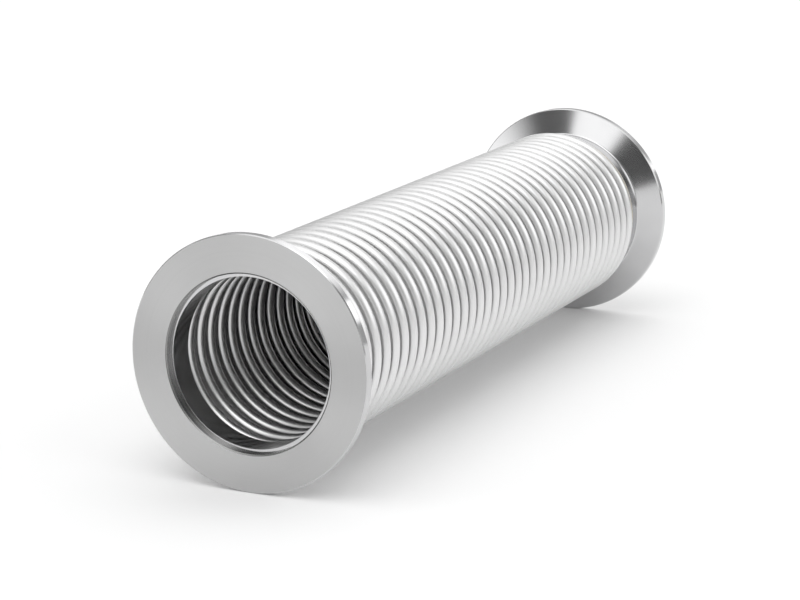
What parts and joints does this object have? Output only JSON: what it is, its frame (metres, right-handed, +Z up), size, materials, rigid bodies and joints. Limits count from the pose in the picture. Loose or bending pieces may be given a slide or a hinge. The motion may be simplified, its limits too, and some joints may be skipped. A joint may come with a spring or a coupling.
{
  "type": "metal bellows expansion joint",
  "caption": "Straight corrugated stainless steel bellows with a flat round clamp flange at each end; it stretches, compresses, bends and shifts sideways between two pipe ends.",
  "frame": {"origin": "middle of the bellows axis, halfway between the two sealing faces", "axes": "+Y along the axis from the front flange to the rear flange, +Z up, +X to the right when seen from the front"},
  "size_m": [0.075, 0.25, 0.075],
  "materials": {
    "flange_steel": "fine turned stainless steel, polished on the clamping cone and in the bore",
    "weld_steel": "low as-welded seam with fine ripples and a faint straw heat tint",
    "bellows_steel": "bright satin, hydroformed thin stainless sheet"
  },
  "bodies": {
    "front_end": {"front_flange": "flange_steel", "front_weld": "weld_steel", "front_cuff": "bellows_steel"},
    "convolution_01": {"convolution_01": "bellows_steel"},
    "convolution_02": {"convolution_02": "bellows_steel"},
    "convolution_03": {"convolution_03": "bellows_steel"},
    "convolution_04": {"convolution_04": "bellows_steel"},
    "convolution_05": {"convolution_05": "bellows_steel"},
    "convolution_06": {"convolution_06": "bellows_steel"},
    "convolution_07": {"convolution_07": "bellows_steel"},
    "convolution_08": {"convolution_08": "bellows_steel"},
    "convolution_09": {"convolution_09": "bellows_steel"},
    "convolution_10": {"convolution_10": "bellows_steel"},
    "convolution_11": {"convolution_11": "bellows_steel"},
    "convolution_12": {"convolution_12": "bellows_steel"},
    "convolution_13": {"convolution_13": "bellows_steel"},
    "convolution_14": {"convolution_14": "bellows_steel"},
    "convolution_15": {"convolution_15": "bellows_steel"},
    "convolution_16": {"convolution_16": "bellows_steel"},
    "convolution_17": {"convolution_17": "bellows_steel"},
    "convolution_18": {"convolution_18": "bellows_steel"},
    "convolution_19": {"convolution_19": "bellows_steel"},
    "convolution_20": {"convolution_20": "bellows_steel"},
    "convolution_21": {"convolution_21": "bellows_steel"},
    "convolution_22": {"convolution_22": "bellows_steel"},
    "convolution_23": {"convolution_23": "bellows_steel"},
    "convolution_24": {"convolution_24": "bellows_steel"},
    "convolution_25": {"convolution_25": "bellows_steel"},
    "convolution_26": {"convolution_26": "bellows_steel"},
    "convolution_27": {"convolution_27": "bellows_steel"},
    "convolution_28": {"convolution_28": "bellows_steel"},
    "convolution_29": {"convolution_29": "bellows_steel"},
    "convolution_30": {"convolution_30": "bellows_steel"},
    "convolution_31": {"convolution_31": "bellows_steel"},
    "convolution_32": {"convolution_32": "bellows_steel"},
    "convolution_33": {"convolution_33": "bellows_steel"},
    "convolution_34": {"convolution_34": "bellows_steel"},
    "convolution_35": {"convolution_35": "bellows_steel"},
    "convolution_36": {"convolution_36": "bellows_steel"},
    "rear_end": {"rear_cuff": "bellows_steel", "rear_weld": "weld_steel", "rear_flange": "flange_steel"}
  },
  "joints": [
    {"name": "axial_travel", "type": "slide", "parent": "front_end", "child": "convolution_01", "axis": [0, 1, 0], "range_m": [-0.0014, 0.0014], "stiffness_N_per_m": 234000, "deforming": ["convolution_01"]},
    {"name": "front_bend_up_right", "type": "hinge", "parent": "convolution_01", "child": "convolution_02", "pos_m": [0, -0.10506, 0], "axis": [0.7071, 0, -0.7071], "range_deg": [-2.5, 2.5], "stiffness_Nm_per_rad": 85, "deforming": ["convolution_02"]},
    {"name": "front_bend_up_left", "type": "hinge", "parent": "convolution_02", "child": "convolution_03", "pos_m": [0, -0.09888, 0], "axis": [0.7071, 0, 0.7071], "range_deg": [-2.5, 2.5], "stiffness_Nm_per_rad": 85, "deforming": ["convolution_03"]},
    {"name": "axial_travel_02", "type": "slide", "parent": "convolution_03", "child": "convolution_04", "axis": [0, 1, 0], "range_m": [-0.0014, 0.0014], "stiffness_N_per_m": 234000, "deforming": ["convolution_04"]},
    {"name": "front_bend_up_right_02", "type": "hinge", "parent": "convolution_04", "child": "convolution_05", "pos_m": [0, -0.08652, 0], "axis": [0.7071, 0, -0.7071], "range_deg": [-2.5, 2.5], "stiffness_Nm_per_rad": 85, "deforming": ["convolution_05"]},
    {"name": "front_bend_up_left_02", "type": "hinge", "parent": "convolution_05", "child": "convolution_06", "pos_m": [0, -0.08034, 0], "axis": [0.7071, 0, 0.7071], "range_deg": [-2.5, 2.5], "stiffness_Nm_per_rad": 85, "deforming": ["convolution_06"]},
    {"name": "axial_travel_03", "type": "slide", "parent": "convolution_06", "child": "convolution_07", "axis": [0, 1, 0], "range_m": [-0.0014, 0.0014], "stiffness_N_per_m": 234000, "deforming": ["convolution_07"]},
    {"name": "front_bend_up_right_03", "type": "hinge", "parent": "convolution_07", "child": "convolution_08", "pos_m": [0, -0.06798, 0], "axis": [0.7071, 0, -0.7071], "range_deg": [-2.5, 2.5], "stiffness_Nm_per_rad": 85, "deforming": ["convolution_08"]},
    {"name": "front_bend_up_left_03", "type": "hinge", "parent": "convolution_08", "child": "convolution_09", "pos_m": [0, -0.0618, 0], "axis": [0.7071, 0, 0.7071], "range_deg": [-2.5, 2.5], "stiffness_Nm_per_rad": 85, "deforming": ["convolution_09"]},
    {"name": "axial_travel_04", "type": "slide", "parent": "convolution_09", "child": "convolution_10", "axis": [0, 1, 0], "range_m": [-0.0014, 0.0014], "stiffness_N_per_m": 234000, "deforming": ["convolution_10"]},
    {"name": "front_bend_up_right_04", "type": "hinge", "parent": "convolution_10", "child": "convolution_11", "pos_m": [0, -0.04944, 0], "axis": [0.7071, 0, -0.7071], "range_deg": [-2.5, 2.5], "stiffness_Nm_per_rad": 85, "deforming": ["convolution_11"]},
    {"name": "front_bend_up_left_04", "type": "hinge", "parent": "convolution_11", "child": "convolution_12", "pos_m": [0, -0.04326, 0], "axis": [0.7071, 0, 0.7071], "range_deg": [-2.5, 2.5], "stiffness_Nm_per_rad": 85, "deforming": ["convolution_12"]},
    {"name": "axial_travel_05", "type": "slide", "parent": "convolution_12", "child": "convolution_13", "axis": [0, 1, 0], "range_m": [-0.0014, 0.0014], "stiffness_N_per_m": 234000, "deforming": ["convolution_13"]},
    {"name": "front_bend_up_right_05", "type": "hinge", "parent": "convolution_13", "child": "convolution_14", "pos_m": [0, -0.0309, 0], "axis": [0.7071, 0, -0.7071], "range_deg": [-2.5, 2.5], "stiffness_Nm_per_rad": 85, "deforming": ["convolution_14"]},
    {"name": "front_bend_up_left_05", "type": "hinge", "parent": "convolution_14", "child": "convolution_15", "pos_m": [0, -0.02472, 0], "axis": [0.7071, 0, 0.7071], "range_deg": [-2.5, 2.5], "stiffness_Nm_per_rad": 85, "deforming": ["convolution_15"]},
    {"name": "axial_travel_06", "type": "slide", "parent": "convolution_15", "child": "convolution_16", "axis": [0, 1, 0], "range_m": [-0.0014, 0.0014], "stiffness_N_per_m": 234000, "deforming": ["convolution_16"]},
    {"name": "front_bend_up_right_06", "type": "hinge", "parent": "convolution_16", "child": "convolution_17", "pos_m": [0, -0.01236, 0], "axis": [0.7071, 0, -0.7071], "range_deg": [-2.5, 2.5], "stiffness_Nm_per_rad": 85, "deforming": ["convolution_17"]},
    {"name": "front_bend_up_left_06", "type": "hinge", "parent": "convolution_17", "child": "convolution_18", "pos_m": [0, -0.00618, 0], "axis": [0.7071, 0, 0.7071], "range_deg": [-2.5, 2.5], "stiffness_Nm_per_rad": 85, "deforming": ["convolution_18"]},
    {"name": "axial_travel_07", "type": "slide", "parent": "convolution_18", "child": "convolution_19", "axis": [0, 1, 0], "range_m": [-0.0014, 0.0014], "stiffness_N_per_m": 234000, "deforming": ["convolution_19"]},
    {"name": "rear_bend_up_right", "type": "hinge", "parent": "convolution_19", "child": "convolution_20", "pos_m": [0, 0.00618, 0], "axis": [0.7071, 0, -0.7071], "range_deg": [-2.5, 2.5], "stiffness_Nm_per_rad": 85, "deforming": ["convolution_20"]},
    {"name": "rear_bend_up_left", "type": "hinge", "parent": "convolution_20", "child": "convolution_21", "pos_m": [0, 0.01236, 0], "axis": [0.7071, 0, 0.7071], "range_deg": [-2.5, 2.5], "stiffness_Nm_per_rad": 85, "deforming": ["convolution_21"]},
    {"name": "axial_travel_08", "type": "slide", "parent": "convolution_21", "child": "convolution_22", "axis": [0, 1, 0], "range_m": [-0.0014, 0.0014], "stiffness_N_per_m": 234000, "deforming": ["convolution_22"]},
    {"name": "rear_bend_up_right_02", "type": "hinge", "parent": "convolution_22", "child": "convolution_23", "pos_m": [0, 0.02472, 0], "axis": [0.7071, 0, -0.7071], "range_deg": [-2.5, 2.5], "stiffness_Nm_per_rad": 85, "deforming": ["convolution_23"]},
    {"name": "rear_bend_up_left_02", "type": "hinge", "parent": "convolution_23", "child": "convolution_24", "pos_m": [0, 0.0309, 0], "axis": [0.7071, 0, 0.7071], "range_deg": [-2.5, 2.5], "stiffness_Nm_per_rad": 85, "deforming": ["convolution_24"]},
    {"name": "axial_travel_09", "type": "slide", "parent": "convolution_24", "child": "convolution_25", "axis": [0, 1, 0], "range_m": [-0.0014, 0.0014], "stiffness_N_per_m": 234000, "deforming": ["convolution_25"]},
    {"name": "rear_bend_up_right_03", "type": "hinge", "parent": "convolution_25", "child": "convolution_26", "pos_m": [0, 0.04326, 0], "axis": [0.7071, 0, -0.7071], "range_deg": [-2.5, 2.5], "stiffness_Nm_per_rad": 85, "deforming": ["convolution_26"]},
    {"name": "rear_bend_up_left_03", "type": "hinge", "parent": "convolution_26", "child": "convolution_27", "pos_m": [0, 0.04944, 0], "axis": [0.7071, 0, 0.7071], "range_deg": [-2.5, 2.5], "stiffness_Nm_per_rad": 85, "deforming": ["convolution_27"]},
    {"name": "axial_travel_10", "type": "slide", "parent": "convolution_27", "child": "convolution_28", "axis": [0, 1, 0], "range_m": [-0.0014, 0.0014], "stiffness_N_per_m": 234000, "deforming": ["convolution_28"]},
    {"name": "rear_bend_up_right_04", "type": "hinge", "parent": "convolution_28", "child": "convolution_29", "pos_m": [0, 0.0618, 0], "axis": [0.7071, 0, -0.7071], "range_deg": [-2.5, 2.5], "stiffness_Nm_per_rad": 85, "deforming": ["convolution_29"]},
    {"name": "rear_bend_up_left_04", "type": "hinge", "parent": "convolution_29", "child": "convolution_30", "pos_m": [0, 0.06798, 0], "axis": [0.7071, 0, 0.7071], "range_deg": [-2.5, 2.5], "stiffness_Nm_per_rad": 85, "deforming": ["convolution_30"]},
    {"name": "axial_travel_11", "type": "slide", "parent": "convolution_30", "child": "convolution_31", "axis": [0, 1, 0], "range_m": [-0.0014, 0.0014], "stiffness_N_per_m": 234000, "deforming": ["convolution_31"]},
    {"name": "rear_bend_up_right_05", "type": "hinge", "parent": "convolution_31", "child": "convolution_32", "pos_m": [0, 0.08034, 0], "axis": [0.7071, 0, -0.7071], "range_deg": [-2.5, 2.5], "stiffness_Nm_per_rad": 85, "deforming": ["convolution_32"]},
    {"name": "rear_bend_up_left_05", "type": "hinge", "parent": "convolution_32", "child": "convolution_33", "pos_m": [0, 0.08652, 0], "axis": [0.7071, 0, 0.7071], "range_deg": [-2.5, 2.5], "stiffness_Nm_per_rad": 85, "deforming": ["convolution_33"]},
    {"name": "axial_travel_12", "type": "slide", "parent": "convolution_33", "child": "convolution_34", "axis": [0, 1, 0], "range_m": [-0.0014, 0.0014], "stiffness_N_per_m": 234000, "deforming": ["convolution_34"]},
    {"name": "rear_bend_up_right_06", "type": "hinge", "parent": "convolution_34", "child": "convolution_35", "pos_m": [0, 0.09888, 0], "axis": [0.7071, 0, -0.7071], "range_deg": [-2.5, 2.5], "stiffness_Nm_per_rad": 85, "deforming": ["convolution_35"]},
    {"name": "rear_bend_up_left_06", "type": "hinge", "parent": "convolution_35", "child": "convolution_36", "pos_m": [0, 0.10506, 0], "axis": [0.7071, 0, 0.7071], "range_deg": [-2.5, 2.5], "stiffness_Nm_per_rad": 85, "deforming": ["convolution_36"]},
    {"name": "axial_travel_13", "type": "slide", "parent": "convolution_36", "child": "rear_end", "axis": [0, 1, 0], "range_m": [-0.0014, 0.0014], "stiffness_N_per_m": 234000, "deforming": ["convolution_36"]}
  ],
  "couplings": [
    {"joint": "axial_travel_02", "follows": "axial_travel", "ratio": 1},
    {"joint": "front_bend_up_right_02", "follows": "front_bend_up_right", "ratio": 1},
    {"joint": "front_bend_up_left_02", "follows": "front_bend_up_left", "ratio": 1},
    {"joint": "axial_travel_03", "follows": "axial_travel", "ratio": 1},
    {"joint": "front_bend_up_right_03", "follows": "front_bend_up_right", "ratio": 1},
    {"joint": "front_bend_up_left_03", "follows": "front_bend_up_left", "ratio": 1},
    {"joint": "axial_travel_04", "follows": "axial_travel", "ratio": 1},
    {"joint": "front_bend_up_right_04", "follows": "front_bend_up_right", "ratio": 1},
    {"joint": "front_bend_up_left_04", "follows": "front_bend_up_left", "ratio": 1},
    {"joint": "axial_travel_05", "follows": "axial_travel", "ratio": 1},
    {"joint": "front_bend_up_right_05", "follows": "front_bend_up_right", "ratio": 1},
    {"joint": "front_bend_up_left_05", "follows": "front_bend_up_left", "ratio": 1},
    {"joint": "axial_travel_06", "follows": "axial_travel", "ratio": 1},
    {"joint": "front_bend_up_right_06", "follows": "front_bend_up_right", "ratio": 1},
    {"joint": "front_bend_up_left_06", "follows": "front_bend_up_left", "ratio": 1},
    {"joint": "axial_travel_07", "follows": "axial_travel", "ratio": 1},
    {"joint": "axial_travel_08", "follows": "axial_travel", "ratio": 1},
    {"joint": "rear_bend_up_right_02", "follows": "rear_bend_up_right", "ratio": 1},
    {"joint": "rear_bend_up_left_02", "follows": "rear_bend_up_left", "ratio": 1},
    {"joint": "axial_travel_09", "follows": "axial_travel", "ratio": 1},
    {"joint": "rear_bend_up_right_03", "follows": "rear_bend_up_right", "ratio": 1},
    {"joint": "rear_bend_up_left_03", "follows": "rear_bend_up_left", "ratio": 1},
    {"joint": "axial_travel_10", "follows": "axial_travel", "ratio": 1},
    {"joint": "rear_bend_up_right_04", "follows": "rear_bend_up_right", "ratio": 1},
    {"joint": "rear_bend_up_left_04", "follows": "rear_bend_up_left", "ratio": 1},
    {"joint": "axial_travel_11", "follows": "axial_travel", "ratio": 1},
    {"joint": "rear_bend_up_right_05", "follows": "rear_bend_up_right", "ratio": 1},
    {"joint": "rear_bend_up_left_05", "follows": "rear_bend_up_left", "ratio": 1},
    {"joint": "axial_travel_12", "follows": "axial_travel", "ratio": 1},
    {"joint": "rear_bend_up_right_06", "follows": "rear_bend_up_right", "ratio": 1},
    {"joint": "rear_bend_up_left_06", "follows": "rear_bend_up_left", "ratio": 1},
    {"joint": "axial_travel_13", "follows": "axial_travel", "ratio": 1}
  ]
}
